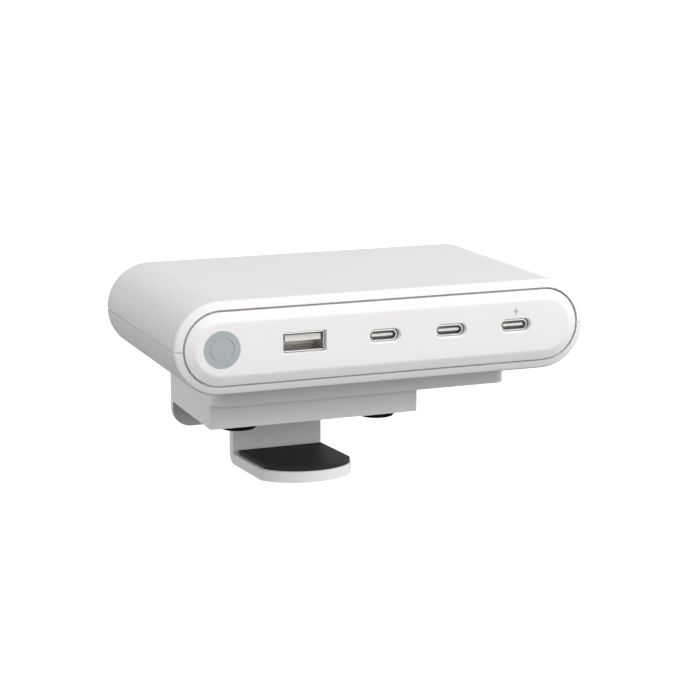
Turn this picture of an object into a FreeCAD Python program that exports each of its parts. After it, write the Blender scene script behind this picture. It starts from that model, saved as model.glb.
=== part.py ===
import FreeCAD, Part
import math
import os

from FreeCAD import Vector

# Desk power strip: a flat charging casing that stands on the back edge of a desk top.
# The origin is where the desk's upper face meets its back edge, at the middle of the
# jaw. +X runs along the desk edge, +Y points away from the user and +Z points up.
# Millimetres and degrees.

# ---- casing -------------------------------------------------------------------------
casing_width = 132.0
casing_height = 28.0
casing_depth = 79.7
casing_wall = 2.5
rim_slope = 0.9              # how far the rim's bevel runs back across the wall
rim_rounding = 1.2           # between that bevel and the sides
parting_reveal = 0.45        # shadow line between the two shells
rib_pitch = 2.76
rib_margin = 3.9             # from the front to the first groove
rib_depth = 0.55
rib_mouth = 2.0
rib_fade = 85.0              # angle from the side at which a groove has run out

# ---- end panels ---------------------------------------------------------------------
panel_seam = 0.65            # open line between a panel and the rim
panel_drop = 1.2             # how far a panel's edge lies behind its flat middle
panel_bevel = 2.9            # width of that sloping edge
panel_rounding = 2.5         # between the slope and the flat middle
panel_edge = 2.2             # thickness at the edge
ledge_width = 2.2
ledge_depth = 2.0
hook_width = 7.0
hook_wall = 1.2
hook_catch = 0.8
hook_spacing = 76.0
fit_gap = 0.1                # clearance of moulded parts that seat in each other

# ---- sockets and marks on the front panel -------------------------------------------
port_height = 0.45           # centre line of the sockets above the casing's middle
usb_a_from_middle = -26.6
usb_a_cutout = (13.3, 6.15)
usb_a_size = (13.1, 5.72, 14.0)
usb_a_tongue_size = (11.1, 1.84, 8.9)
usb_a_tongue_lift = 1.15
usb_c_count = 3
usb_c_pitch = 21.6
usb_c_from_middle = -1.35    # the first of the three
usb_c_cutout = (9.7, 3.6)
usb_c_size = (8.94, 3.26, 7.35)
usb_c_tongue_size = (6.69, 0.7, 4.45)
cutout_chamfer = 0.45
socket_wall = 0.3
socket_corner = 0.6          # rounding of the square socket and its cut-out
socket_recess = 1.4          # from the panel's face to the socket's mouth
usb_a_tongue_setback = 0.4   # from the socket's mouth to its tongue
usb_c_tongue_setback = 0.6
usb_c_foot_depth = 2.0
contact_setback = 0.5        # from the tongue's tip to its contacts
usb_a_contact_places = (-3.5, -1.0, 1.0, 3.5)
usb_a_contact_size = (1.0, 6.5, 0.12)
usb_c_contact_count = 6
usb_c_contact_pitch = 1.0
usb_c_contact_size = (0.25, 3.0, 0.05)
badge_diameter = 11.1
badge_thickness = 0.8
badge_ring = (3.6, 0.35, 0.15)  # radius, width and depth of its one turned ring
mark_height = 3.1
mark_lift = 4.9              # centre of the charging mark above the casing's middle
mark_depth = 0.4

# ---- electronics --------------------------------------------------------------------
board_width = 95.0
board_thickness = 1.6
board_front = 4.6            # from the casing's front to the board
board_back = 7.9             # and from the board to the casing's back
standoff_radius = 3.0
standoff_spacing = (86.0, 38.2)
standoff_front = 13.8
transformer_core = (24.0, 20.0, 11.0)
transformer_front = 34.0
winding_size = (15.0, 26.0, 7.6)
capacitor_diameter = 10.0
capacitor_length = 21.0
capacitor_count = 3
capacitor_pitch = 11.0
capacitor_first = (-28.5, 34.0)
choke_radii = (6.5, 3.0)
choke_height = 9.0
choke_place = (21.0, 40.0)
inductor_size = (8.0, 8.0, 5.0)
inductor_front = 17.0
output_capacitor = (2.8, 8.5)
output_capacitor_front = 28.0
chip_size = (6.0, 6.0, 1.0)
chip_front = 24.0
fuse_size = (2.6, 10.0)
fuse_place = (36.0, 47.0)
spreader_size = (76.0, 42.0, 1.4)
spreader_front = 22.0
insulator_thickness = 0.4
insulator_inset = 4.0
inlet_from_middle = 20.0
inlet_body = (19.4, 16.5, 11.2)
inlet_socket = (15.8, 8.6, 13.5)
inlet_pin_radius = 1.18
inlet_pin_length = 10.0
inlet_pin_spacing = 8.6
inlet_clearance = 0.15
inlet_cup_wall = 0.9
inlet_setback = 0.4          # from the rear panel's face to the inlet's rim
winding_corner = 1.4

# ---- screws -------------------------------------------------------------------------
screw_radius = 1.45
screw_head = (2.7, 1.9)      # radius and height
screw_socket = (1.25, 1.1)   # hexagon radius and depth
screw_bite = 6.0
screw_hole_gap = 0.05
screw_tip_gap = 0.5          # a tapped hole is this much deeper than its screw
shell_screw_sink = 4.0       # how far a shell screw's head lies up its hole
clearance_gap = 0.2
head_gap = 0.25
boss_wall = 1.7
boss_place = (52.0, 11.0)    # from the casing's middle and from its front
plate_screw_spacing = (68.0, 20.0)
plate_screw_front = 29.0
block_screws_near = (9.0, 7.0)   # from the jaw's middle and from the block's front
block_screws_far = (26.0, 28.0)
past = 1.0                   # how far a cutting tool reaches past what it cuts

# ---- underside ----------------------------------------------------------------------
foot_height = 1.8
foot_radius = 5.7
foot_spacing = 46.0
foot_setback = 7.6           # from the block's front to the feet's centres
foot_peg = (2.0, 2.5)
block_size = (68.2, 40.2, 8.0)
block_corner = 1.0
plate_height = 7.55
plate_width = 96.4
plate_overhang = 5.0         # of the plate in front of the block
plate_corner = 3.75
casing_overhang = 18.25      # of the casing in front of the plate
casing_offset = 14.6         # the casing's middle to the right of the jaw's
flange_thickness = 2.3
flange_drop = 8.5            # below the block
flange_corner = 6.0
flange_screw_spacing = 48.0
underside_gap = 0.3          # between the flange's or the jaw's top and the casing

# ---- sliding jaw --------------------------------------------------------------------
jaw_width = 30.4
jaw_thickness = 3.4
jaw_slide_gap = 0.1
jaw_side_gap = 0.3
jaw_reach = 38.0             # from the desk edge to the foot's tip
jaw_bend = 3.6               # outer radius of the bend
jaw_toe_in = 3.6             # the foot rises towards its tip by this angle
jaw_tip_radius = 16.5
jaw_tip_blend = 6.0
throat = 15.15               # from the rubber feet down to the pad, at the desk edge
jaw_raise = 0.6              # travel that is left for a thinner desk top
jaw_lower = 11.9             # travel for a thicker one
pad_thickness = 1.35
pad_inset = 1.0
pad_setback = 1.6            # from the web to the pad
pad_offset = 0.6             # the pad is stuck on a little to the right

# ---- clamp knob ---------------------------------------------------------------------
stud_radius = 2.5
stud_running_gap = 0.06
stud_tip_setback = 0.4
slot_gap = 0.3
slot_rim = 2.3               # metal left under the slot
washer_size = (5.6, 1.0)
knob_radius = 6.0
knob_length = 9.0
knob_lobes = 8
knob_lobe_radius = 1.3
knob_gap = 0.05

# ---- places that follow from the sizes ----------------------------------------------
half_width = casing_width / 2
end_radius = casing_height / 2
end_span = half_width - end_radius
block_bottom = foot_height
plate_bottom = block_bottom + block_size[2]
casing_bottom = plate_bottom + plate_height
casing_middle = casing_bottom + end_radius
block_back = jaw_thickness + jaw_slide_gap
block_front = block_back - block_size[1]
plate_front = block_front - plate_overhang
casing_front = plate_front - casing_overhang
plate_left = -block_size[0] / 2
plate_right = plate_left + plate_width
flange_bottom = block_bottom - flange_drop
flange_top = casing_bottom - underside_gap
flange_back = block_back + flange_thickness
panel_inset = casing_wall + panel_seam
panel_radius = end_radius - panel_inset
panel_thickness = panel_edge + panel_drop
ledge_back = panel_thickness + ledge_depth
cavity_radius = end_radius - casing_wall
opening_radius = cavity_radius - ledge_width
board_top = port_height - usb_a_size[1] / 2
board_bottom = board_top - board_thickness
board_length = casing_depth - board_front - board_back
slot_radius = stud_radius + slot_gap
stud_lowest = flange_bottom + slot_rim + slot_radius
stud_height = stud_lowest + jaw_lower
jaw_top = casing_bottom - underside_gap - jaw_raise
hole_radius = screw_radius + screw_hole_gap
clear_radius = screw_radius + clearance_gap
counterbore = (screw_head[0] + head_gap, screw_head[1])
usb_c_places = [usb_c_from_middle + n * usb_c_pitch for n in range(usb_c_count)]
hook_places = [(x, side) for x in (-hook_spacing / 2, hook_spacing / 2) for side in (-1, 1)]
to_casing = Vector(casing_offset, casing_front, casing_middle)
x_axis = Vector(1, 0, 0)
y_axis = Vector(0, 1, 0)
z_axis = Vector(0, 0, 1)


# ---- building blocks ----------------------------------------------------------------
def box(x, y, z):
    """A block between pairs of coordinates."""
    return Part.makeBox(x[1] - x[0], y[1] - y[0], z[1] - z[0], Vector(x[0], y[0], z[0]))


def block(size, middle_x, front, bottom):
    """A block of a given width, depth and height, centred across."""
    return box((middle_x - size[0] / 2, middle_x + size[0] / 2), (front, front + size[1]),
               (bottom, bottom + size[2]))


def rod(radius, length, start, axis):
    return Part.makeCylinder(radius, length, Vector(*start), axis)


def prism(points, direction):
    """A polygon pushed along a direction."""
    corners = [Vector(*point) for point in points]
    return Part.Face(Part.makePolygon(corners + corners[:1])).extrude(direction)


def fused(shapes):
    result = shapes[0].multiFuse(shapes[1:]) if len(shapes) > 1 else shapes[0]
    return result.removeSplitter()


def in_casing(shape):
    """Moves a shape drawn about the casing's own middle and front to its place."""
    return shape.translated(to_casing)


def eased(corner, before, after, radius):
    """The two outline points that round a corner off: (radius, depth) pairs."""
    towards = [math.atan2(p[1] - corner[1], p[0] - corner[0]) for p in (before, after)]
    turn = abs(towards[0] - towards[1])
    reach = radius / math.tan(min(turn, 2 * math.pi - turn) / 2)
    points = [(corner[0] + reach * math.cos(a), corner[1] + reach * math.sin(a))
              for a in towards]
    return [points[0], points[1] + (radius,)]


def stadium(outline):
    """A long body with round ends, from the outline of its end: (radius, depth) points.

    A point with a third number is reached along an arc of that radius, bulging out.
    """
    edges = []
    for here, there in zip(outline, outline[1:] + outline[:1]):
        start = Vector(here[0], here[1], 0)
        end = Vector(there[0], there[1], 0)
        if len(there) < 3:
            edges.append(Part.LineSegment(start, end).toShape())
            continue
        half = (end - start).Length / 2
        rise = there[2] - math.sqrt(there[2] ** 2 - half ** 2)
        across = (end - start).cross(z_axis).normalize()
        edges.append(Part.Arc(start, (start + end) / 2 + across * rise, end).toShape())
    half_face = Part.Face(Part.Wire(edges))
    upright = half_face.rotated(Vector(), y_axis, -90)
    end_cap = upright.revolve(Vector(), y_axis, 180)
    if end_cap.BoundBox.XMin < -1:
        end_cap = end_cap.rotated(Vector(), y_axis, 180)
    middle = upright.translated(x_axis * -end_span).extrude(x_axis * 2 * end_span)
    parts = [end_cap.translated(x_axis * end_span), middle,
             end_cap.rotated(Vector(), y_axis, 180).translated(x_axis * -end_span),
             middle.rotated(Vector(), y_axis, 180)]
    return fused(parts)


def plain_stadium(radius, start, end):
    return stadium([(0, start), (radius, start), (radius, end), (0, end)])


def rounded_slot(width, height, depth, place):
    """A round-ended bar along Y; place is the middle of its front."""
    radius = height / 2
    x, y, z = place
    straight = width / 2 - radius
    return fused([box((x - straight, x + straight), (y, y + depth), (z - radius, z + radius)),
                  rod(radius, depth, (x - straight, y, z), y_axis),
                  rod(radius, depth, (x + straight, y, z), y_axis)])


def screw(place, axis, length):
    """A socket-head screw: place is under its head, axis points along the shank."""
    start = Vector(*place)
    head = Part.makeCylinder(screw_head[0], screw_head[1], start - axis * screw_head[1], axis)
    head = head.makeFillet(screw_head[1] / 5, [e for e in head.Edges if e.Closed])
    shank = Part.makeCylinder(screw_radius, length, start, axis)
    side = x_axis if abs(axis.x) < 0.5 else y_axis
    corners = []
    for turn in range(0, 361, 60):
        spoke = FreeCAD.Rotation(axis, turn).multVec(side) * screw_socket[0]
        corners.append(start - axis * screw_head[1] + spoke)
    socket = Part.Face(Part.makePolygon(corners)).extrude(axis * screw_socket[1])
    return head.fuse(shank).cut(socket).removeSplitter()


def along_y(shape):
    return [edge for edge in shape.Edges if abs(edge.tangentAt(0).y) > 0.9]


def save(name, *shapes):
    whole = shapes[0] if len(shapes) == 1 else Part.makeCompound(list(shapes))
    whole.exportStep("parts/" + name + ".step")


# ---- casing shells ------------------------------------------------------------------
def casing_outer():
    """The outer form: round-ended, its rims bevelled back from the panels' edges."""
    lip = (cavity_radius, panel_drop)
    crest = (end_radius, panel_drop + rim_slope)
    rear_crest = (end_radius, casing_depth - crest[1])
    rear_lip = (cavity_radius, casing_depth - panel_drop)
    return stadium([(0, panel_drop), lip] + eased(crest, lip, rear_crest, rim_rounding)
                   + eased(rear_crest, crest, rear_lip, rim_rounding)
                   + [rear_lip, (0, rear_lip[1])])


def rib_cutter():
    """Rings of shallow grooves round one side, fading out towards top and bottom.

    Each groove's floor is a circle a little larger than the side and shifted inwards,
    so it leaves the surface at the fade angle.
    """
    turned = 1 - math.cos(math.radians(rib_fade))
    near = end_radius * rib_depth - rib_depth ** 2 / 2
    shift = near / (end_radius * turned - rib_depth)
    floor = end_radius + shift - rib_depth
    rim = end_radius + shift + past / 10
    outside = rim + past
    slope = rib_mouth / 2 / rib_depth
    count = int((casing_depth - 2 * rib_margin) / rib_pitch) + 1
    first = (casing_depth - (count - 1) * rib_pitch) / 2
    outline = [(outside, first - rib_pitch)]
    for n in range(count):
        middle = first + n * rib_pitch
        half = slope * (rim - floor)
        outline += [(rim, middle - half), (floor, middle), (rim, middle + half)]
    outline.append((outside, casing_depth - first + rib_pitch))
    outline.insert(1, (rim, first - rib_pitch))
    outline.insert(-1, (rim, casing_depth - first + rib_pitch))
    corners = [Vector(r, y, 0) for r, y in outline]
    comb = Part.Face(Part.makePolygon(corners + corners[:1]))
    comb = comb.rotated(Vector(), y_axis, 90).revolve(Vector(), y_axis, 180)
    if comb.BoundBox.XMin < -1:
        comb = comb.rotated(Vector(), y_axis, 180)
    return comb.translated(x_axis * (end_span - shift))


def casing_body():
    """Both shells as one hollow body, before they are parted."""
    body = casing_outer()
    hollows = [plain_stadium(cavity_radius, -past, panel_thickness),
               plain_stadium(opening_radius, 0, casing_depth),
               plain_stadium(cavity_radius, ledge_back, casing_depth - ledge_back),
               plain_stadium(cavity_radius, casing_depth - panel_thickness, casing_depth + past)]
    ribs = rib_cutter()
    return body.cut(hollows + [ribs, ribs.mirror(Vector(), x_axis)])


def boss_places():
    return [(side * boss_place[0], y) for side in (-1, 1)
            for y in (boss_place[1], casing_depth - boss_place[1])]


def standoff_places():
    return [(side * standoff_spacing[0] / 2, y) for side in (-1, 1)
            for y in (standoff_front, standoff_front + standoff_spacing[1])]


def plate_screw_places():
    return [(side * plate_screw_spacing[0] / 2, y) for side in (-1, 1)
            for y in (plate_screw_front, plate_screw_front + plate_screw_spacing[1])]


def half_space(low, high):
    return box((-half_width - past, half_width + past), (-past, casing_depth + past), (low, high))


def upper_shell(body):
    shell = body.common(half_space(0, end_radius + past))
    radius = screw_radius + boss_wall
    inside = plain_stadium(end_radius - casing_wall / 2, past, casing_depth - past)
    for x, y in boss_places():
        boss = rod(radius, end_radius, (x, y, 0), z_axis).common(inside)
        shell = shell.fuse(boss).cut(rod(hole_radius, screw_bite + screw_tip_gap, (x, y, 0), z_axis))
    return in_casing(shell.removeSplitter())


def lower_shell(body):
    shell = body.common(half_space(-end_radius - past, 0))
    start = panel_drop + rim_slope + parting_reveal
    core = plain_stadium(end_radius - parting_reveal, start, casing_depth - start)
    shell = shell.cut(half_space(-parting_reveal, 0).cut(core))
    inside = plain_stadium(end_radius - casing_wall / 2, past, casing_depth - past)
    for x, y in boss_places():
        boss = rod(counterbore[0] + boss_wall / 2, end_radius, (x, y, -end_radius), z_axis)
        shell = shell.fuse(boss.common(inside))
        shell = shell.cut(rod(clear_radius, 2 * end_radius, (x, y, -end_radius - past), z_axis))
        shell = shell.cut(rod(counterbore[0], shell_screw_rise() + past,
                              (x, y, -end_radius - past), z_axis))
    for x, y in standoff_places():
        height = board_bottom + cavity_radius
        shell = shell.fuse(rod(standoff_radius, height, (x, y, -cavity_radius), z_axis))
        shell = shell.cut(rod(hole_radius, screw_bite, (x, y, board_bottom - screw_bite), z_axis))
    for x, y in plate_screw_places():
        shell = shell.cut(rod(clear_radius, casing_wall + 2 * past, (x, y, -end_radius - past), z_axis))
    return in_casing(shell.removeSplitter())


def shell_screw_rise():
    """Depth of the counterbore that hides a shell screw's head."""
    return screw_head[1] + shell_screw_sink


def shell_screws():
    under_head = -end_radius + shell_screw_rise()
    length = screw_bite - under_head
    return [in_casing(screw((x, y, under_head), z_axis, length)) for x, y in boss_places()]


# ---- end panels ---------------------------------------------------------------------
def crowned_panel():
    """A round-ended panel: flat middle, edge sloping back, hooks behind the ledge."""
    edge = (panel_radius, panel_drop)
    flat = (panel_radius - panel_bevel, 0)
    panel = stadium([(0, 0)] + eased(flat, (0, 0), edge, panel_rounding)
                    + [edge, (panel_radius, panel_thickness), (0, panel_thickness)])
    arm = opening_radius - fit_gap
    reach = ledge_back + fit_gap + hook_catch
    for x, side in hook_places:
        span = sorted((side * arm, side * (arm - hook_wall)))
        catch = sorted((side * arm, side * (arm + hook_catch)))
        sides = (x - hook_width / 2, x + hook_width / 2)
        panel = panel.fuse(box(sides, (panel_thickness, reach), span))
        panel = panel.fuse(box(sides, (ledge_back + fit_gap, reach), catch))
    return panel.removeSplitter()


def usb_a_opening():
    width, height = usb_a_cutout
    hole = block((width, panel_thickness + 2, height), usb_a_from_middle, -1,
                 port_height - height / 2)
    hole = hole.makeFillet(socket_corner, along_y(hole))
    low, high = -cutout_chamfer, cutout_chamfer
    mouth = [(usb_a_from_middle + sx * (width / 2 + high), low,
              port_height + sz * (height / 2 + high))
             for sx, sz in ((-1, -1), (1, -1), (1, 1), (-1, 1))]
    throat_ring = [(usb_a_from_middle + sx * width / 2, high, port_height + sz * height / 2)
                   for sx, sz in ((-1, -1), (1, -1), (1, 1), (-1, 1))]
    mouth_wire = Part.makePolygon([Vector(*p) for p in mouth + mouth[:1]])
    throat_wire = Part.makePolygon([Vector(*p) for p in throat_ring + throat_ring[:1]])
    return hole.fuse(Part.makeLoft([mouth_wire, throat_wire], True))


def usb_c_opening(x):
    width, height = usb_c_cutout
    hole = rounded_slot(width, height, panel_thickness + 2, (x, -1, port_height))
    grown = cutout_chamfer * 2
    mouth = rounded_slot(width + grown, height + grown, 1, (x, -1, port_height))
    face = [f for f in mouth.Faces if abs(f.CenterOfMass.y) < 0.01][0]
    inner = [f for f in rounded_slot(width, height, 1, (x, cutout_chamfer - 1, port_height)).Faces
             if abs(f.CenterOfMass.y - cutout_chamfer) < 0.01][0]
    flare = Part.makeLoft([face.OuterWire, inner.OuterWire], True)
    return hole.fuse([flare, mouth])


def badge_pocket(gap):
    start = (-end_span, 0, 0)
    return rod(badge_diameter / 2 + gap, badge_thickness, start, y_axis)


def charging_mark():
    """A small plain bolt: a fast-charging sign over the last socket."""
    unit = mark_height / 2
    x, z = usb_c_places[-1], mark_lift
    shape = [(0.25, 1.0), (-0.62, -0.12), (-0.05, -0.12), (-0.25, -1.0), (0.62, 0.12),
             (0.05, 0.12)]
    points = [(x + u * unit, 0, z + v * unit) for u, v in shape]
    return prism(points, y_axis * mark_depth)


def front_panel():
    panel = crowned_panel()
    cuts = [usb_a_opening(), badge_pocket(fit_gap / 2), charging_mark()]
    cuts += [usb_c_opening(x) for x in usb_c_places]
    return in_casing(panel.cut(cuts))


def front_badge():
    radius, width, depth = badge_ring
    ring = rod(radius + width / 2, depth, (-end_span, 0, 0), y_axis)
    ring = ring.cut(rod(radius - width / 2, depth, (-end_span, 0, 0), y_axis))
    return in_casing(badge_pocket(0).cut(ring))


def inlet_height():
    return board_top + inlet_body[2] / 2


def inlet_floor():
    """How far back the bottom of the inlet's cup lies."""
    return casing_depth - inlet_setback - inlet_socket[2]


def rear_panel():
    """The front panel's twin, turned round, with an opening for the power inlet."""
    panel = crowned_panel().rotated(Vector(), z_axis, 180)
    panel = panel.translated(y_axis * casing_depth)
    width = inlet_socket[0] + 2 * inlet_clearance
    height = inlet_socket[1] + 2 * inlet_clearance
    start = casing_depth - panel_thickness - 1
    hole = rounded_slot(width, height, panel_thickness + 2,
                        (inlet_from_middle, start, inlet_height()))
    return in_casing(panel.cut(hole))


# ---- sockets ------------------------------------------------------------------------
def usb_a_shell():
    width, height, depth = usb_a_size
    bottom = port_height - height / 2
    shell = block((width, depth, height), usb_a_from_middle, socket_recess, bottom)
    shell = shell.makeFillet(socket_corner, along_y(shell))
    inner = (width - 2 * socket_wall, depth - socket_wall, height - 2 * socket_wall)
    return in_casing(shell.cut(block(inner, usb_a_from_middle, socket_recess,
                                     bottom + socket_wall)))


def usb_a_tongue_bottom():
    return port_height + usb_a_tongue_lift - usb_a_tongue_size[1] / 2


def usb_a_tongue():
    """The white tongue and the block that carries it at the back of the socket."""
    width, height, length = usb_a_tongue_size
    back = socket_recess + usb_a_size[2] - socket_wall
    root = (usb_a_size[0] - 2 * socket_wall, back - socket_recess - length,
            usb_a_size[1] - 2 * socket_wall)
    tongue = block((width, length, height), usb_a_from_middle,
                   socket_recess + usb_a_tongue_setback, usb_a_tongue_bottom())
    carrier = block(root, usb_a_from_middle, back - root[1], port_height - root[2] / 2)
    return in_casing(tongue.fuse(carrier).removeSplitter())


def usb_a_contacts():
    """Four strips on the underside of the tongue."""
    front = socket_recess + usb_a_tongue_setback + contact_setback
    bottom = usb_a_tongue_bottom() - usb_a_contact_size[2]
    return [in_casing(block(usb_a_contact_size, usb_a_from_middle + place, front, bottom))
            for place in usb_a_contact_places]


def usb_c_shell(x):
    width, height, depth = usb_c_size
    outer = rounded_slot(width, height, depth, (x, socket_recess, port_height))
    inner = rounded_slot(width - 2 * socket_wall, height - 2 * socket_wall, depth + 2,
                         (x, socket_recess - 1, port_height))
    return in_casing(outer.cut(inner))


def usb_c_core(x):
    """The moulding behind the shell: tongue, carrier and the foot that stands on the board."""
    width, height, length = usb_c_tongue_size
    front = socket_recess + usb_c_tongue_setback
    back = socket_recess + usb_c_size[2]
    tongue = block((width, length, height), x, front, port_height - height / 2)
    carrier = rounded_slot(usb_c_size[0] - 2 * socket_wall, usb_c_size[1] - 2 * socket_wall,
                           back - front - length, (x, front + length, port_height))
    foot = block((usb_c_size[0], usb_c_foot_depth, port_height + usb_c_size[1] / 2 - board_top),
                 x, back, board_top)
    return in_casing(fused([tongue, carrier, foot]))


def usb_c_contacts():
    """Six strips on the top and six on the underside of every round-ended socket's tongue."""
    half = usb_c_tongue_size[1] / 2
    front = socket_recess + usb_c_tongue_setback + contact_setback
    strips = []
    for x in usb_c_places:
        for n in range(usb_c_contact_count):
            place = x + (n - (usb_c_contact_count - 1) / 2) * usb_c_contact_pitch
            for bottom in (port_height + half, port_height - half - usb_c_contact_size[2]):
                strips.append(in_casing(block(usb_c_contact_size, place, front, bottom)))
    return strips


def power_inlet():
    """A two-pole mains inlet: a deep round-ended cup that stands on the board."""
    width, depth, height = inlet_body
    back = casing_depth - panel_thickness
    body = block((width, depth, height), inlet_from_middle, back - depth, board_top)
    sleeve = rounded_slot(inlet_socket[0], inlet_socket[1], panel_thickness - inlet_setback,
                          (inlet_from_middle, back, inlet_height()))
    cup = rounded_slot(inlet_socket[0] - 2 * inlet_cup_wall, inlet_socket[1] - 2 * inlet_cup_wall,
                       inlet_socket[2] + past, (inlet_from_middle, inlet_floor(), inlet_height()))
    return in_casing(body.fuse(sleeve).cut(cup).removeSplitter())


def inlet_pins():
    start = inlet_floor()
    pins = []
    for side in (-1, 1):
        place = (inlet_from_middle + side * inlet_pin_spacing / 2, start, inlet_height())
        pin = rod(inlet_pin_radius, inlet_pin_length, place, y_axis)
        tip = [e for e in pin.Edges if e.Closed and e.CenterOfMass.y > start + past]
        pins.append(in_casing(pin.makeFillet(inlet_pin_radius * 0.6, tip)))
    return pins


# ---- electronics --------------------------------------------------------------------
def main_board():
    board = block((board_width, board_length, board_thickness), 0, board_front, board_bottom)
    for x, y in standoff_places():
        board = board.cut(rod(clear_radius, board_thickness + 2 * past,
                              (x, y, board_bottom - past), z_axis))
    return in_casing(board)


def board_screws():
    length = screw_bite + board_thickness - screw_tip_gap
    return [in_casing(screw((x, y, board_top), -z_axis, length)) for x, y in standoff_places()]


def winding_front():
    return transformer_front + (transformer_core[1] - winding_size[1]) / 2


def winding_bottom():
    return board_top + (transformer_core[2] - winding_size[2]) / 2


def transformer():
    """A ferrite frame with a window, and the taped winding that passes through it."""
    core = block(transformer_core, 0, transformer_front, board_top)
    window = block((winding_size[0], winding_size[1] + 2 * past, winding_size[2]), 0,
                   winding_front() - past, winding_bottom())
    coil = block(winding_size, 0, winding_front(), winding_bottom())
    coil = coil.makeFillet(winding_corner, [e for e in coil.Edges if abs(e.tangentAt(0).x) > 0.9])
    return in_casing(core.cut(window)), in_casing(coil)


def bulk_capacitors():
    cans = []
    for n in range(capacitor_count):
        x, y = capacitor_first
        radius = capacitor_diameter / 2
        can = rod(radius, capacitor_length, (x - capacitor_length / 2, y + n * capacitor_pitch,
                                             board_top + radius), x_axis)
        cans.append(in_casing(can.makeFillet(0.8, [e for e in can.Edges if e.Closed])))
    return cans


def mains_choke():
    outer, inner = choke_radii
    x, y = choke_place
    ring = rod(outer, choke_height, (x, y, board_top), z_axis)
    ring = ring.cut(rod(inner, choke_height, (x, y, board_top), z_axis))
    return in_casing(ring.makeFillet(1.0, [e for e in ring.Edges if e.Closed]))


def on_board(size, x, y):
    return in_casing(block(size, x, y, board_top))


def output_inductors():
    return [on_board(inductor_size, x, inductor_front) for x in usb_c_places]


def output_capacitors():
    radius, height = output_capacitor
    return [in_casing(rod(radius, height, (x, output_capacitor_front, board_top), z_axis))
            for x in usb_c_places]


def controller_chips():
    places = [usb_a_from_middle] + [x + usb_c_pitch / 2 for x in usb_c_places[:-1]]
    return [on_board(chip_size, x, chip_front) for x in places]


def fuse_link():
    radius, length = fuse_size
    x, y = fuse_place
    link = rod(radius, length, (x - length / 2, y, board_top + radius), x_axis)
    return in_casing(link)


def heat_spreader():
    bottom = cavity_radius - spreader_size[2]
    return in_casing(block(spreader_size, 0, spreader_front, bottom))


def thermal_pad():
    top = cavity_radius - spreader_size[2]
    bottom = board_top + transformer_core[2]
    size = (transformer_core[0] - 2, transformer_core[1] - 2, top - bottom)
    return in_casing(block(size, 0, transformer_front + 1, bottom))


def insulating_sheet():
    """A thin sheet on the casing's floor, with a hole round each standoff and screw."""
    size = (board_width - 2 * insulator_inset, board_length - 2 * insulator_inset,
            insulator_thickness)
    sheet = block(size, 0, board_front + insulator_inset, -cavity_radius)
    for x, y in standoff_places():
        sheet = sheet.cut(rod(standoff_radius + fit_gap, past, (x, y, -cavity_radius), z_axis))
    for x, y in plate_screw_places():
        sheet = sheet.cut(rod(screw_head[0] + fit_gap, past, (x, y, -cavity_radius), z_axis))
    return in_casing(sheet)


# ---- underside bracket --------------------------------------------------------------
def jaw_channel(low, high):
    """The slot in the bracket that guides the jaw's web, open at the back."""
    side = jaw_width / 2 + jaw_side_gap
    return box((-side, side), (-jaw_slide_gap, block_back + 1), (low - 1, high + 1))


def block_screw_places():
    return [(side * x, block_front + y) for x, y in (block_screws_near, block_screws_far)
            for side in (-1, 1)]


def foot_places():
    return [(side * foot_spacing / 2, block_front + foot_setback) for side in (-1, 1)]


def flange_screw_places():
    heights = (block_bottom + block_size[2] / 2, plate_bottom + plate_height / 2)
    return [(side * flange_screw_spacing / 2, z) for side in (-1, 1) for z in heights]


def mounting_plate():
    plate = box((plate_left, plate_right), (plate_front, block_back), (plate_bottom, casing_bottom))
    plate = plate.makeFillet(plate_corner, [e for e in plate.Edges
                                            if abs(e.tangentAt(0).z) > 0.9
                                            and e.CenterOfMass.y < 0])
    plate = plate.cut(jaw_channel(plate_bottom, casing_bottom))
    for x, y in plate_screw_places():
        hole = rod(hole_radius, screw_bite, (x, y, -end_radius - screw_bite), z_axis)
        plate = plate.cut(in_casing(hole))
    for x, y in block_screw_places():
        plate = plate.cut(rod(hole_radius, screw_bite, (x, y, plate_bottom), z_axis))
    for x, z in flange_screw_places():
        plate = plate.cut(rod(hole_radius, screw_bite, (x, block_back - screw_bite, z), y_axis))
    return plate


def plate_screws():
    """They pass down through the lower shell's floor into the plate."""
    length = casing_wall + screw_bite - screw_tip_gap
    return [in_casing(screw((x, y, -cavity_radius), -z_axis, length))
            for x, y in plate_screw_places()]


def clamp_block():
    body = box((-block_size[0] / 2, block_size[0] / 2), (block_front, block_back),
               (block_bottom, plate_bottom))
    body = body.makeFillet(block_corner, [e for e in body.Edges
                                          if abs(e.tangentAt(0).z) > 0.9
                                          and e.CenterOfMass.y < 0])
    body = body.cut(jaw_channel(block_bottom, plate_bottom))
    for x, y in block_screw_places():
        body = body.cut(rod(clear_radius, block_size[2], (x, y, block_bottom), z_axis))
        body = body.cut(rod(counterbore[0], counterbore[1], (x, y, block_bottom), z_axis))
    for x, y in foot_places():
        body = body.cut(rod(foot_peg[0] + fit_gap, foot_peg[1] + fit_gap,
                            (x, y, block_bottom), z_axis))
    for x, z in flange_screw_places():
        body = body.cut(rod(hole_radius, screw_bite, (x, block_back - screw_bite, z), y_axis))
    return body


def block_screws():
    under_head = block_bottom + counterbore[1]
    length = plate_bottom - under_head + screw_bite - screw_tip_gap
    return [screw((x, y, under_head), z_axis, length) for x, y in block_screw_places()]


def rubber_foot(x, y):
    disc = rod(foot_radius, foot_height, (x, y, 0), z_axis)
    disc = disc.makeFillet(0.4, [e for e in disc.Edges if e.Closed and e.CenterOfMass.z < 0.1])
    peg = rod(foot_peg[0], foot_peg[1], (x, y, block_bottom), z_axis)
    return disc.fuse(peg).removeSplitter()


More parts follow.
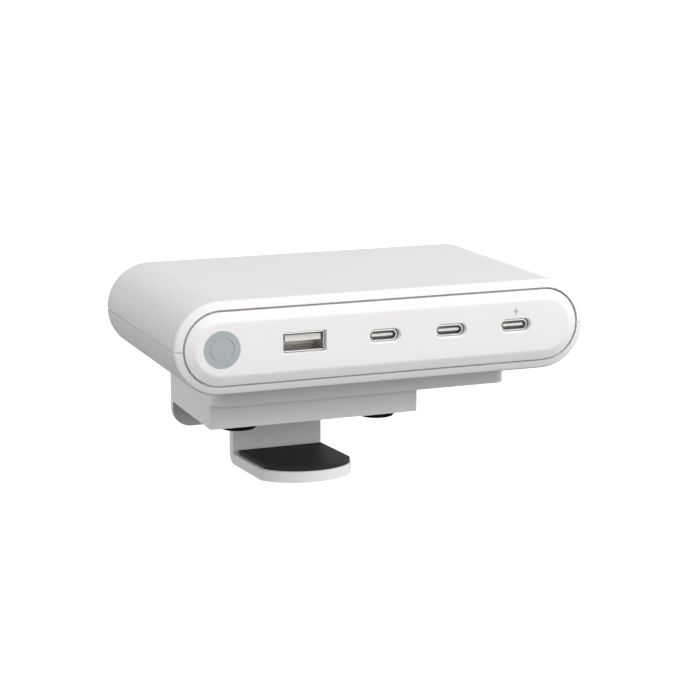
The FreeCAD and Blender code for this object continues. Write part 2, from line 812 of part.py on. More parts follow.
def rear_flange():
    """A steel plate across the bracket's back; the jaw's web slides in front of it."""
    side = block_size[0] / 2
    plate = box((-side, side), (block_back, flange_back), (flange_bottom, flange_top))
    plate = plate.makeFillet(flange_corner, [e for e in plate.Edges
                                             if abs(e.tangentAt(0).y) > 0.9
                                             and e.CenterOfMass.z < 0])
    low, high = stud_lowest, stud_height + jaw_raise
    slot = fused([box((-slot_radius, slot_radius), (block_back, flange_back), (low, high)),
                  rod(slot_radius, flange_thickness, (0, block_back, low), y_axis),
                  rod(slot_radius, flange_thickness, (0, block_back, high), y_axis)])
    plate = plate.cut(slot)
    for x, z in flange_screw_places():
        plate = plate.cut(rod(clear_radius, flange_thickness, (x, block_back, z), y_axis))
    return plate


def flange_screws():
    length = flange_thickness + screw_bite - screw_tip_gap
    return [screw((x, flange_back, z), -y_axis, length) for x, z in flange_screw_places()]


# ---- jaw ----------------------------------------------------------------------------
def tip_outline(inset, back, low, high):
    """Plan of the foot between two heights: straight sides and a round tip."""
    half = jaw_width / 2 - inset
    radius = jaw_tip_radius - inset
    tip = -jaw_reach + inset
    shoulder = tip + radius - math.sqrt(radius ** 2 - half ** 2)
    corners = [Vector(half, back, low), Vector(half, shoulder, low), Vector(0, tip, low),
               Vector(-half, shoulder, low), Vector(-half, back, low)]
    edges = [Part.LineSegment(corners[0], corners[1]).toShape(),
             Part.Arc(corners[1], corners[2], corners[3]).toShape(),
             Part.LineSegment(corners[3], corners[4]).toShape(),
             Part.LineSegment(corners[4], corners[0]).toShape()]
    plan = Part.Face(Part.Wire(edges)).extrude(z_axis * (high - low))
    blend = [e for e in plan.Edges if abs(e.tangentAt(0).z) > 0.9
             and abs(e.CenterOfMass.y - shoulder) < 0.01]
    return plan.makeFillet(jaw_tip_blend - inset, blend)


def foot_line(depth_below):
    """Height of the foot's surface at the desk edge, and its rise per millimetre forward."""
    slope = math.tan(math.radians(jaw_toe_in))
    thick = depth_below / math.cos(math.radians(jaw_toe_in))
    return -throat - thick, slope


def tilted_slab(top, bottom, back):
    """A slab between two depths below the pad's surface, following the toe-in."""
    side = jaw_width
    reach = -jaw_reach - 5
    points = []
    for depth, order in ((top, (back, reach)), (bottom, (reach, back))):
        level, slope = foot_line(depth)
        points += [(-side, y, level - slope * y) for y in order]
    return prism(points, x_axis * 2 * side)


def clamp_jaw():
    """One steel strip: a straight web and a foot bent forwards from it."""
    half = jaw_width / 2
    under = pad_thickness + jaw_thickness
    level, slope = foot_line(under)
    corner = level - slope * jaw_thickness
    web = box((-half, half), (0, jaw_thickness), (corner, jaw_top))
    foot = tilted_slab(pad_thickness, under, jaw_thickness)
    foot = foot.common(tip_outline(0, jaw_thickness, corner - 5, corner + 20))
    below = tilted_slab(under, under + 20, jaw_thickness + 1)
    jaw = web.fuse(foot).cut(below).removeSplitter()
    heel = [e for e in jaw.Edges if abs(e.tangentAt(0).x) > 0.9
            and abs(e.CenterOfMass.y - jaw_thickness) < 0.05 and e.CenterOfMass.z < corner + 1]
    jaw = jaw.makeFillet(jaw_bend, heel)
    hole = rod(stud_radius + stud_running_gap, jaw_thickness, (0, 0, stud_height), y_axis)
    return jaw.cut(hole)


def jaw_pad():
    pad = tilted_slab(0, pad_thickness, -pad_setback)
    level = foot_line(0)[0]
    plan = tip_outline(pad_inset, -pad_setback, level - 5, level + 10)
    return pad.common(plan.translated(x_axis * pad_offset))


# ---- clamp knob ---------------------------------------------------------------------
def clamp_washer():
    radius, thickness = washer_size
    start = (0, flange_back + knob_gap, stud_height)
    ring = rod(radius, thickness, start, y_axis)
    return ring.cut(rod(stud_radius + stud_running_gap, thickness, start, y_axis))


def knob_front():
    return flange_back + washer_size[1] + 2 * knob_gap


def clamp_stud():
    start = stud_tip_setback
    length = knob_front() + knob_length / 2 - start
    return rod(stud_radius, length, (0, start, stud_height), y_axis)


def clamp_knob():
    """A moulded hand knob with scalloped sides on the stud's end."""
    front = knob_front()
    body = rod(knob_radius, knob_length, (0, front, stud_height), y_axis)
    body = body.makeFillet(0.9, [e for e in body.Edges if e.Closed])
    for n in range(knob_lobes):
        turn = math.radians(360 * (n + 0.5) / knob_lobes)
        away = knob_radius + knob_lobe_radius * 0.45
        place = (away * math.cos(turn), front + 1.5, stud_height + away * math.sin(turn))
        body = body.cut(rod(knob_lobe_radius, knob_length, place, y_axis))
    return body.cut(rod(stud_radius, knob_length / 2, (0, front, stud_height), y_axis))


# ---- every piece to its file --------------------------------------------------------
os.makedirs("parts", exist_ok=True)
hollow = casing_body()
save("upper_shell", upper_shell(hollow))
save("lower_shell", lower_shell(hollow))
save("shell_screws", *shell_screws())
save("front_panel", front_panel())
save("rear_panel", rear_panel())
save("front_badge", front_badge())
save("charging_mark", in_casing(charging_mark()))
save("usb_a_shell", usb_a_shell())
save("usb_a_tongue", usb_a_tongue())
save("usb_a_contacts", *usb_a_contacts())
for number, place in enumerate(usb_c_places, 1):
    save("usb_c_shell_" + str(number), usb_c_shell(place))
    save("usb_c_core_" + str(number), usb_c_core(place))
save("usb_c_contacts", *usb_c_contacts())
save("power_inlet", power_inlet())
save("inlet_pins", *inlet_pins())
save("main_board", main_board())
save("board_screws", *board_screws())
core, winding = transformer()
save("transformer_core", core)
save("transformer_winding", winding)
save("bulk_capacitors", *bulk_capacitors())
save("mains_choke", mains_choke())
save("output_inductors", *output_inductors())
save("output_capacitors", *output_capacitors())
save("controller_chips", *controller_chips())
save("fuse", fuse_link())
save("heat_spreader", heat_spreader())
save("thermal_pad", thermal_pad())
save("insulating_sheet", insulating_sheet())
save("mounting_plate", mounting_plate())
save("plate_screws", *plate_screws())
save("clamp_block", clamp_block())
save("block_screws", *block_screws())
for side, spot in zip(("left", "right"), foot_places()):
    save("rubber_foot_" + side, rubber_foot(*spot))
save("rear_flange", rear_flange())
save("flange_screws", *flange_screws())
save("clamp_jaw", clamp_jaw())
save("jaw_pad", jaw_pad())
save("clamp_washer", clamp_washer())
save("clamp_stud", clamp_stud())
save("clamp_knob", clamp_knob())
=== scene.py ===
import math

import bmesh
import bpy
from mathutils import Euler, Matrix, Vector


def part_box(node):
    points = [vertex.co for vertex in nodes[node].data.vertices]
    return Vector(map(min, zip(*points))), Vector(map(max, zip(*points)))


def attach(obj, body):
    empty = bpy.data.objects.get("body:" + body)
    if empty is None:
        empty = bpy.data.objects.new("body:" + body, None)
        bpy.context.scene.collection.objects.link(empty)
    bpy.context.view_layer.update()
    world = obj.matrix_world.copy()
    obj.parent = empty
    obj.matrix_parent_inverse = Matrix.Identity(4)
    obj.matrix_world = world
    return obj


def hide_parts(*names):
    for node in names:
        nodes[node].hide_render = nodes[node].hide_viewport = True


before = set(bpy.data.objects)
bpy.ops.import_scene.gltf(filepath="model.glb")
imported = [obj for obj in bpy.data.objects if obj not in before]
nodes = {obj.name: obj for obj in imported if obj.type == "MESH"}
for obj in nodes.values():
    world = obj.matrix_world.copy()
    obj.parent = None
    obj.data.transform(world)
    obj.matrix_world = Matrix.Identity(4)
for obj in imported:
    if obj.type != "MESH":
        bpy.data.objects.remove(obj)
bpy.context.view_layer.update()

scene = bpy.context.scene
mm = 0.001

# ---- camera -------------------------------------------------------------------------
# A long lens on a tripod, in front of the strip and to its left. It stands a little above
# the casing and looks slightly down on it.
camera_place = (-0.20836, -0.5983, 0.14987)
line_of_sight = Vector((0.3564, 0.9114, -0.2057))
camera_data = bpy.data.cameras.new("camera")
camera_data.lens = 102.7
camera_data.sensor_width = 36.0
camera_data.clip_start = 0.05
camera = bpy.data.objects.new("camera", camera_data)
camera.location = camera_place
camera.rotation_euler = line_of_sight.to_track_quat("-Z", "Y").to_euler()
scene.collection.objects.link(camera)
scene.camera = camera
scene.view_settings.view_transform = "Standard"


# ---- floor and backdrop -------------------------------------------------------------
# A white paper sweep, matt, which keeps the strip's shadow. Seen by the camera or in a
# reflection it is white; the light that it throws back up at the strip is weaker.
class Wire:
    """One output of a node. Sums of wires and numbers add the Math nodes they need."""

    def __init__(self, graph, socket):
        self.graph, self.socket = graph, socket

    def also(self, name):
        """Another output of the same node."""
        return Wire(self.graph, self.socket.node.outputs[name])

    def __add__(self, other):
        return self.graph.maths("ADD", self, other)

    def __sub__(self, other):
        return self.graph.maths("SUBTRACT", self, other)

    def __rsub__(self, other):
        return self.graph.maths("SUBTRACT", other, self)

    def __mul__(self, other):
        return self.graph.maths("MULTIPLY", self, other)

    def __truediv__(self, other):
        return self.graph.maths("DIVIDE", self, other)

    def __pow__(self, other):
        return self.graph.maths("POWER", self, other)

    def __gt__(self, other):
        return self.graph.maths("GREATER_THAN", self, other)

    def __lt__(self, other):
        return self.graph.maths("LESS_THAN", self, other)

    def __abs__(self):
        return self.graph.maths("ABSOLUTE", self)

    __radd__ = __add__
    __rmul__ = __mul__

    def of(self, operation):
        """A function of this one value, such as its sine."""
        return self.graph.maths(operation, self)

    def least(self, other):
        """The lesser of two values."""
        return self.graph.maths("MINIMUM", self, other)

    def most(self, other):
        """The greater of two values."""
        return self.graph.maths("MAXIMUM", self, other)

    def zigzag(self, height):
        """Rises from 0 to a height and falls back, over and over, as this value grows."""
        return self.graph.maths("PINGPONG", self, height)


class Graph:
    """A node tree that is being filled."""

    def __init__(self, tree):
        self.tree = tree

    def make(self, kind, settings=(), sockets=(), out=0):
        """Adds a node: its settings first, then the values or wires of its sockets."""
        node = self.tree.nodes.new(kind)
        for name, value in dict(settings).items():
            setattr(node, name, value)
        for name, value in dict(sockets).items():
            if isinstance(value, list):
                for wire in value:
                    self.tree.links.new(wire.socket, node.inputs[name])
            elif isinstance(value, Wire):
                self.tree.links.new(value.socket, node.inputs[name])
            else:
                node.inputs[name].default_value = value
        return Wire(self, node.outputs[out]) if node.outputs else None

    def maths(self, operation, first, second=0.0):
        """A Math node on one or two values."""
        return self.make("ShaderNodeMath", {"operation": operation}, {0: first, 1: second})


def blank(data):
    """The emptied node tree of a new material or world."""
    data.use_nodes = True
    data.node_tree.nodes.clear()
    return Graph(data.node_tree)


def seen_white(graph):
    """1 for the rays that show the backdrop: the camera's, and those in gloss and glass."""
    ray = graph.make("ShaderNodeLightPath")
    shown = ray.also("Is Camera Ray") + ray.also("Is Glossy Ray")
    return shown + ray.also("Is Transmission Ray") > 0.5


floor_drop = 12.5 * mm           # below the jaw, clear of it when it is let right down
floor_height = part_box("clamp_jaw")[0].z - floor_drop
floor_reach = 6.0
paper_white = 0.75
paper_lift = 0.78
bounce_grey = 0.08
floor_mesh = bpy.data.meshes.new("floor")
floor_mesh.from_pydata([(x * floor_reach, y * floor_reach, floor_height)
                        for x, y in ((-1, -1), (1, -1), (1, 1), (-1, 1))], [], [(0, 1, 2, 3)])
floor = bpy.data.objects.new("floor", floor_mesh)
scene.collection.objects.link(floor)

paper = bpy.data.materials.new("paper_sweep")
graph = blank(paper)
bounce = graph.make("ShaderNodeBsdfDiffuse", (), {"Color": (bounce_grey,) * 3 + (1,)})
sheet = graph.make("ShaderNodeBsdfDiffuse", (), {"Color": (paper_white,) * 3 + (1,)})
lift = graph.make("ShaderNodeEmission", (), {"Strength": paper_lift})
white = graph.make("ShaderNodeAddShader", (), {0: sheet, 1: lift})
mixed = graph.make("ShaderNodeMixShader", (), {0: seen_white(graph), 1: bounce, 2: white})
graph.make("ShaderNodeOutputMaterial", (), {"Surface": mixed})
floor_mesh.materials.append(paper)

# ---- studio light -------------------------------------------------------------------
# An even white room with large soft lamps: two over the strip's front, a low one that
# fills the underside, one at either side, and a faint one behind.
room_light = 0.38
world = bpy.data.worlds.new("studio")
graph = blank(world)
room = graph.make("ShaderNodeBackground", (), {"Color": (1, 1, 1, 1), "Strength": room_light})
backdrop = graph.make("ShaderNodeBackground", (), {"Color": (1, 1, 1, 1), "Strength": 1.0})
mixed = graph.make("ShaderNodeMixShader", (), {0: seen_white(graph), 1: room, 2: backdrop})
graph.make("ShaderNodeOutputWorld", (), {"Surface": mixed})
scene.world = world


def lamp(name, place, aim, size, power):
    """A soft lamp of a given width and height that points at a spot."""
    data = bpy.data.lights.new(name, "AREA")
    data.shape = "RECTANGLE"
    data.size, data.size_y = size
    data.energy = power
    item = bpy.data.objects.new(name, data)
    item.location = place
    item.rotation_euler = (Vector(aim) - Vector(place)).to_track_quat("-Z", "Y").to_euler()
    scene.collection.objects.link(item)


middle = (0.014, -0.02, 0.015)
lamp("front_lamp", (0.0, -1.15, 1.0), middle, (0.6, 0.6), 4.2)
lamp("front_right_lamp", (0.75, -1.0, 0.95), middle, (0.6, 0.6), 9.6)
lamp("low_lamp", (0.2, -1.45, 0.42), middle, (0.8, 0.8), 7.6)
lamp("left_lamp", (-1.4, 0.2, 0.2), middle, (0.9, 0.5), 5.6)
lamp("right_lamp", (1.4, -0.1, 0.3), middle, (0.9, 0.6), 5.3)
lamp("rear_lamp", (0.2, 1.4, 0.015), middle, (0.9, 0.08), 3.5)


# ---- casing shells ------------------------------------------------------------------
# Two injection-moulded half shells in matt white plastic, one over the other, with a
# shadow line between them. Fine grooves run round both ends and fade out above and below.
# Pillars inside take the screws that hold the shells together, and carry the board.
def plastic(name, colour, roughness, grain=0.35, depth=0.010, cloud=0.02, specular=0.3):
    """Moulded plastic: spark-eroded grain in millimetres, and faint flow clouds."""
    look = bpy.data.materials.new(name)
    graph = blank(look)
    place = graph.make("ShaderNodeTexCoord", out="Object")
    spark = graph.make("ShaderNodeTexNoise", (), {"Vector": place, "Detail": 3.0,
                                                  "Scale": 1 / (grain * mm)})
    flow = graph.make("ShaderNodeTexNoise", (), {"Vector": place, "Detail": 2.0,
                                                 "Scale": 60.0})
    low = tuple(c * (1 - cloud) for c in colour) + (1,)
    high = tuple(min(1.0, c * (1 + cloud)) for c in colour) + (1,)
    tint = graph.make("ShaderNodeMix", {"data_type": "RGBA"}, {0: flow, 6: low, 7: high}, out=2)
    bump = graph.make("ShaderNodeBump", (), {"Height": spark, "Distance": depth * mm})
    shader = graph.make("ShaderNodeBsdfPrincipled", (), {
        "Base Color": tint, "Normal": bump, "Specular IOR Level": specular,
        "Roughness": roughness + (flow - 0.5) * 0.12 + (spark - 0.5) * 0.1})
    graph.make("ShaderNodeOutputMaterial", (), {"Surface": shader})
    return look


def shape_tree(name, sizes):
    """A geometry tree with a named input for each size, and the wires of those inputs."""
    kinds = {int: "NodeSocketInt", float: "NodeSocketFloat"}
    tree = bpy.data.node_groups.new(name, "GeometryNodeTree")
    tree.interface.new_socket("Geometry", in_out="INPUT", socket_type="NodeSocketGeometry")
    tree.interface.new_socket("Geometry", in_out="OUTPUT", socket_type="NodeSocketGeometry")
    for word, value in sizes.items():
        kind = kinds.get(type(value), "NodeSocketMaterial")
        tree.interface.new_socket(word, in_out="INPUT", socket_type=kind)
    graph = Graph(tree)
    given = graph.make("NodeGroupInput")
    return graph, given, {word: given.also(word) for word in sizes}


def close_tree(graph, shape, look):
    """The end of every geometry tree: plain geometry with its finish."""
    real = graph.make("GeometryNodeRealizeInstances", (), {"Geometry": shape})
    done = graph.make("GeometryNodeSetMaterial", (), {"Geometry": real, "Material": look})
    graph.make("NodeGroupOutput", (), {"Geometry": done})


crisp_angle = math.radians(25)


def softened(mesh):
    """Smooth shading with crisp edges."""
    work = bmesh.new()
    work.from_mesh(mesh)
    bmesh.ops.remove_doubles(work, verts=work.verts, dist=0.001 * mm)
    for face in work.faces:
        face.smooth = True
    for edge in work.edges:
        if len(edge.link_faces) == 2:
            edge.smooth = edge.calc_face_angle(0.0) < crisp_angle
    work.to_mesh(mesh)
    work.free()
    if "custom_normal" in mesh.attributes:
        mesh.attributes.remove(mesh.attributes["custom_normal"])


def fitted(piece, body, node):
    """Puts a finished piece on its body, in the place of a solid."""
    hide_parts(node)
    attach(piece, body)


def grown(name, tree, values, start=None, turn=Euler(), place=(0, 0, 0)):
    """The object that a geometry tree makes of these sizes, turned and put in place.

    It grows from nothing, from a mesh, or onto an object that is there already.
    """
    if isinstance(start, bpy.types.Object):
        item = start
    else:
        item = bpy.data.objects.new(name, start or bpy.data.meshes.new(name))
        scene.collection.objects.link(item)
    modifier = item.modifiers.new(name, "NODES")
    modifier.node_group = tree
    for socket in tree.interface.items_tree:
        if socket.in_out == "INPUT" and socket.name in values:
            modifier[socket.identifier] = values[socket.name]
    ready = item.evaluated_get(bpy.context.evaluated_depsgraph_get())
    mesh = bpy.data.meshes.new_from_object(ready)
    item.modifiers.clear()
    item.data = mesh
    mesh.transform(Matrix.LocRotScale(place, turn, None))
    softened(mesh)
    return item


casing_white = plastic("casing_white", (0.83, 0.815, 0.822), 0.50, depth=0.012)
shell_wall = 2.5 * mm
rim_slope = 0.9 * mm             # the rim's bevel runs back this far across the wall
rim_rounding = 1.2 * mm
rim_steps = 6                    # straight pieces in the rounding
panel_seat = 2.2 * mm            # from the rim back to the ledge that stops a panel
ledge = (2.2 * mm, 2.0 * mm)     # its height and its length
first_groove = 2.77 * mm         # from the rim
groove_count = 27
groove_rows = 8                  # edge loops for each groove
spare_rows = 3                   # edge loops before the first groove and after the last
groove_pitch = 2.76 * mm
groove_depth = 0.55 * mm
groove_end = math.radians(85)    # how far up and down the round end a groove runs
groove_reach = groove_depth / (1 - math.cos(groove_end))
parting_width = 0.45 * mm
lip_step = 0.03                  # the shadow line's far edge, as a share of its width
surface_skin = 0.02 * mm         # what lies within this of the round end is its surface
shell_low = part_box("lower_shell")[0]
shell_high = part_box("upper_shell")[1]
shell_middle = (shell_low + shell_high) / 2
shell_length = shell_high.y - shell_low.y
end_radius = (shell_high.z - shell_low.z) / 2
end_span = (shell_high.x - shell_low.x) / 2 - end_radius


def wall_section():
    """Outline of a cut through the wall: (depth below the surface, distance from the rim)."""
    turn = math.atan2(shell_wall, rim_slope)
    start = rim_slope + rim_rounding * math.tan(turn / 2)
    seat = (panel_seat, panel_seat + ledge[1])
    half = [(shell_wall, seat[1]), (shell_wall + ledge[0], seat[1]),
            (shell_wall + ledge[0], seat[0]), (shell_wall, seat[0]), (shell_wall, 0.0)]
    for step in range(rim_steps, -1, -1):
        angle = turn * step / rim_steps
        half.append((rim_rounding * (1 - math.cos(angle)),
                     start - rim_rounding * math.sin(angle)))
    rows = [(0.0, first_groove + groove_pitch * row / groove_rows)
            for row in range(-spare_rows, (groove_count - 1) * groove_rows + spare_rows + 1)]
    whole = half + rows + [(sink, shell_length - y) for sink, y in reversed(half)]
    outline = bpy.data.meshes.new("wall_section")
    count = len(whole)
    outline.from_pydata([(sink, y, 0) for sink, y in reversed(whole)],
                        [(n, (n + 1) % count) for n in range(count)], [])
    return outline


shell_sizes = {
    "End span": end_span, "End radius": end_radius, "Arc steps": 30,
    "Groove depth": groove_depth, "Groove mouth": 1.2 * mm, "Groove reach": groove_reach,
    "Groove pitch": groove_pitch, "First groove": first_groove,
    "Groove field": groove_count * groove_pitch, "Parting width": parting_width,
    "Parting step": 0.0, "Rim": rim_slope, "Length": shell_length, "Finish": casing_white}
graph, given, size = shape_tree("half_shell", shell_sizes)

# the path: up one side, round its end, across, and down the other side
last = 2 * size["Arc steps"] + 1
line = graph.make("GeometryNodeMeshLine", (), {"Count": last + 1})
path = graph.make("GeometryNodeMeshToCurve", (), {0: line})
index = graph.make("GeometryNodeInputIndex")
step = index.least(last - index)
lip = (size["Parting width"] / size["End radius"]).of("ARCSINE")
angle = (step - 2) / (size["Arc steps"] - 2) * math.radians(90)
angle = angle.most((step.least(1) + (step > 1.5) * lip_step) * lip)
side = (index > size["Arc steps"] + 0.5) * 2 - 1
route = graph.make("ShaderNodeCombineXYZ", (), {
    0: side * (size["End span"] + size["End radius"] * angle.of("COSINE")),
    1: size["End radius"] * angle.of("SINE")})
path = graph.make("GeometryNodeSetPosition", (), {"Geometry": path, "Position": route})
section = graph.make("GeometryNodeMeshToCurve", (), {0: given})
swept = graph.make("GeometryNodeCurveToMesh", (), {
    "Curve": path, "Profile Curve": section, "Fill Caps": True})
upright = graph.make("GeometryNodeTransform", (), {
    "Geometry": swept, "Rotation": Euler((math.radians(90), 0, 0))})

# the grooves: sunk towards the middle of the round end, deepest at the side
place = graph.make("ShaderNodeSeparateXYZ", (), {0: graph.make("GeometryNodeInputPosition")})
from_end = place - place.least(size["End span"]).most(size["End span"] * -1)
height = place.also("Z")
away = (from_end * from_end + height * height) ** 0.5
outside = away > size["End radius"] - surface_skin
fade = size["Groove depth"] - size["Groove reach"] * (1 - abs(from_end) / away)
into_row = place.also("Y") - size["First groove"]
off_centre = into_row.zigzag(size["Groove pitch"] / 2)
slope = (1 - off_centre * 2 / size["Groove mouth"]).most(0)
field = abs(into_row + size["Groove pitch"] / 2 - size["Groove field"] / 2)
sunk = fade.most(0) * slope * slope * (3 - 2 * slope) * (field < size["Groove field"] / 2)

# the shadow line: a step at the parting face, along the side and across both rims
near_lip = abs(height) < size["Parting width"] * (1 + lip_step / 2)
near_lip = near_lip * (size["Parting step"] > 0)
floor_radius = size["End radius"] - size["Parting step"]
inward = (sunk * outside).most((away - floor_radius) * near_lip) * -1
from_front = place.also("Y")
from_back = size["Length"] - from_front
notch = size["Rim"] + size["Parting step"]
lengthwise = ((notch - from_front).most(0) - (notch - from_back).most(0)) * near_lip
shift = graph.make("ShaderNodeCombineXYZ", (), {
    0: from_end / away * inward, 1: lengthwise, 2: height / away * inward})
grooved = graph.make("GeometryNodeSetPosition", (), {"Geometry": upright, "Offset": shift})
close_tree(graph, grooved, size["Finish"])
half_shell = graph.tree

# the pillars: a set of four posts, each bored, with a wider mouth for a screw's head
post_inset = 9.8 * mm            # the corner posts, from either rim
post_overlap = shell_wall / 2    # how far a post runs into the wall that carries it
tapped_radius = 1.5 * mm
tapped_depth = 6.5 * mm          # in the upper shell's posts
pillar_depth = 6.0 * mm          # the same in the board's pillars
head_seat = 5.9 * mm             # from the casing's underside up to a screw head's seat
overcut = 1.0 * mm               # bores start this far outside a post
through = 20.0 * mm              # well past the casing's underside
post_sizes = {
    "Spread": 52.0 * mm, "Front": post_inset, "Rows": shell_length - 2 * post_inset,
    "Post radius": 3.15 * mm, "Post low": 0.0, "Post high": end_radius - post_overlap,
    "Bore radius": tapped_radius, "Bore low": -overcut, "Bore high": tapped_depth,
    "Mouth radius": tapped_radius, "Mouth low": -overcut, "Mouth high": tapped_depth,
    "Finish": casing_white}
graph, given, size = shape_tree("posts", post_sizes)
grid = graph.make("GeometryNodeMeshGrid", (), {
    "Size X": size["Spread"] * 2, "Size Y": size["Rows"], "Vertices X": 2, "Vertices Y": 2})
lifts = {}
for part in ("Post", "Bore", "Mouth"):
    low, high = size[part + " low"], size[part + " high"]
    rod = graph.make("GeometryNodeMeshCylinder", (), {
        "Vertices": 40, "Radius": size[part + " radius"], "Depth": high - low})
    spot = graph.make("ShaderNodeCombineXYZ", (), {
        1: size["Front"] + size["Rows"] / 2, 2: (low + high) / 2})
    four = graph.make("GeometryNodeTransform", (), {"Geometry": grid, "Translation": spot})
    four = graph.make("GeometryNodeInstanceOnPoints", (), {"Points": four, "Instance": rod})
    lifts[part] = graph.make("GeometryNodeRealizeInstances", (), {"Geometry": four})
solver = {"solver": "MANIFOLD"}
joined = graph.make("GeometryNodeMeshBoolean", {"operation": "UNION", **solver},
                    {1: [given, lifts["Post"]]})
bored = graph.make("GeometryNodeMeshBoolean", {"operation": "DIFFERENCE", **solver},
                   {0: joined, 1: [lifts["Bore"], lifts["Mouth"]]})
close_tree(graph, bored, size["Finish"])
posts = graph.tree

parting = Vector((shell_middle.x, shell_low.y, shell_middle.z))
upper = grown("upper_casing", half_shell, shell_sizes, wall_section())
upper = grown("upper_casing", posts, post_sizes, upper, place=parting)
fitted(upper, "base", "upper_shell")

board_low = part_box("main_board")[0]
under_board = parting.z - board_low.z
lower = grown("lower_casing", half_shell, {**shell_sizes, "Parting step": parting_width},
              wall_section())
lower = grown("lower_casing", posts, {
    **post_sizes, "Post radius": 3.8 * mm, "Bore radius": 1.65 * mm, "Bore high": through,
    "Mouth radius": 2.95 * mm, "Mouth low": end_radius - head_seat, "Mouth high": through},
    lower)
lower = grown("lower_casing", posts, {
    **post_sizes, "Spread": 43.0 * mm, "Front": 12.6 * mm, "Rows": 38.2 * mm,
    "Post radius": 3.0 * mm, "Post low": under_board, "Bore low": under_board - overcut,
    "Bore high": under_board + pillar_depth, "Mouth low": under_board - overcut,
    "Mouth high": under_board + pillar_depth}, lower,
    turn=Euler((0, math.radians(180), 0)), place=parting)
fitted(lower, "base", "lower_shell")

# ---- screws -------------------------------------------------------------------------
# Socket-head machine screws of bright zinc-plated steel, in sets of four: through the
# lower shell, board, plate, block and rear flange, each head at the shank's near end.
def metal(name, colour, roughness, brushed=(1, 1, 1), depth=0.004, dull=0.15, thread=None):
    """Bare or plated metal: scratches drawn out along the axis where brushed is least.

    A thread is a pitch and a height: it runs along Y and takes the scratches' place.
    """
    look = bpy.data.materials.new(name)
    graph = blank(look)
    place = graph.make("ShaderNodeTexCoord", out="Object")
    drawn = graph.make("ShaderNodeMapping", (), {"Vector": place, "Scale": brushed})
    scratch = graph.make("ShaderNodeTexNoise", (), {"Vector": drawn, "Detail": 4.0,
                                                    "Scale": 2500.0})
    cloud = graph.make("ShaderNodeTexNoise", (), {"Vector": place, "Detail": 2.0,
                                                  "Scale": 180.0})
    tint = graph.make("ShaderNodeMix", {"data_type": "RGBA"}, {
        0: cloud, 6: tuple(c * (1 - dull) for c in colour) + (1,), 7: (*colour, 1)}, out=2)
    relief, relief_height = scratch, depth * mm
    if thread:
        pitch, relief_height = thread
        along = graph.make("ShaderNodeSeparateXYZ", (), {0: place}).also("Y")
        relief = along.zigzag(pitch / 2) / (pitch / 2)
    bump = graph.make("ShaderNodeBump", (), {"Height": relief, "Distance": relief_height})
    shader = graph.make("ShaderNodeBsdfPrincipled", (), {
        "Base Color": tint, "Metallic": 1.0, "Normal": bump,
        "Roughness": roughness + (scratch - 0.5) * 0.15 + (cloud - 0.5) * 0.15})
    graph.make("ShaderNodeOutputMaterial", (), {"Surface": shader})
    return look


screw_steel = metal("screw_steel", (0.52, 0.52, 0.54), 0.30)
head_radius = 2.7 * mm
head_sides = 32
shank_sides = 20
screw_sizes = {
    "Head radius": head_radius, "Head height": 1.9 * mm, "Head edge": 0.35 * mm,
    "Shank radius": 1.45 * mm, "Shank length": 0.0, "Key radius": 1.25 * mm,
    "Key depth": 1.1 * mm, "Near spread": 0.0, "Far spread": 0.0, "Rows": 0.0,
    "Finish": screw_steel}
graph, given, size = shape_tree("four_screws", screw_sizes)


def turned(graph, radius, low, high, sides, top=None):
    """A closed turned or many-sided part between two heights, optionally tapered."""
    shape = graph.make("GeometryNodeMeshCone", (), {
        "Vertices": sides, "Radius Bottom": radius, "Radius Top": top or radius,
        "Depth": high - low})
    spot = graph.make("ShaderNodeCombineXYZ", (), {2: low})
    return graph.make("GeometryNodeTransform", (), {"Geometry": shape, "Translation": spot})


under = size["Head height"] * -1
shoulder = under + size["Head edge"]
edge = turned(graph, size["Head radius"] - size["Head edge"], under, shoulder, head_sides,
              size["Head radius"])
head = turned(graph, size["Head radius"], shoulder, 0.0, head_sides)
tip = size["Shank length"] - size["Head edge"]
shank = turned(graph, size["Shank radius"], under / 2, tip, shank_sides)
point = turned(graph, size["Shank radius"], tip, size["Shank length"], shank_sides,
               size["Shank radius"] - size["Head edge"])
key = turned(graph, size["Key radius"], under * 2, under + size["Key depth"], 6)
blank_screw = graph.make("GeometryNodeMeshBoolean", {"operation": "UNION", **solver},
                         {1: [edge, head, shank, point]})
screw = graph.make("GeometryNodeMeshBoolean", {"operation": "DIFFERENCE", **solver},
                   {0: blank_screw, 1: key})
line = graph.make("GeometryNodeMeshLine", (), {"Count": 4})
index = graph.make("GeometryNodeInputIndex")
row = index > 1.5
side = (index - row * 2) * 2 - 1
spread = size["Near spread"] + row * (size["Far spread"] - size["Near spread"])
spot = graph.make("ShaderNodeCombineXYZ", (), {0: side * spread, 1: row * size["Rows"]})
corners = graph.make("GeometryNodeSetPosition", (), {"Geometry": line, "Position": spot})
four = graph.make("GeometryNodeInstanceOnPoints", (), {"Points": corners, "Instance": screw})
close_tree(graph, four, size["Finish"])
four_screws = graph.tree


def screw_set(node, tilt, near_spread=None):
    """Four screws where a node's are; tilt turns them from pointing up, about X."""
    low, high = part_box(node)
    turn = Euler((math.radians(tilt), 0, 0))
    rows, axis = (2, 1) if abs(tilt) == 90 else (1, 2)
    far = (high.x - low.x) / 2 - head_radius
    start = Vector(((low.x + high.x) / 2, 0, 0))
    start[rows] = high[rows] - head_radius if tilt == 180 else low[rows] + head_radius
    start[axis] = low[axis] if tilt == 0 else high[axis]
    head_side = turn.to_matrix() @ Vector((0, 0, screw_sizes["Head height"]))
    piece = grown(node + "_turned", four_screws, {
        **screw_sizes, "Near spread": near_spread or far, "Far spread": far,
        "Shank length": high[axis] - low[axis] - screw_sizes["Head height"],
        "Rows": high[rows] - low[rows] - 2 * head_radius}, turn=turn, place=start + head_side)
    fitted(piece, "base", node)


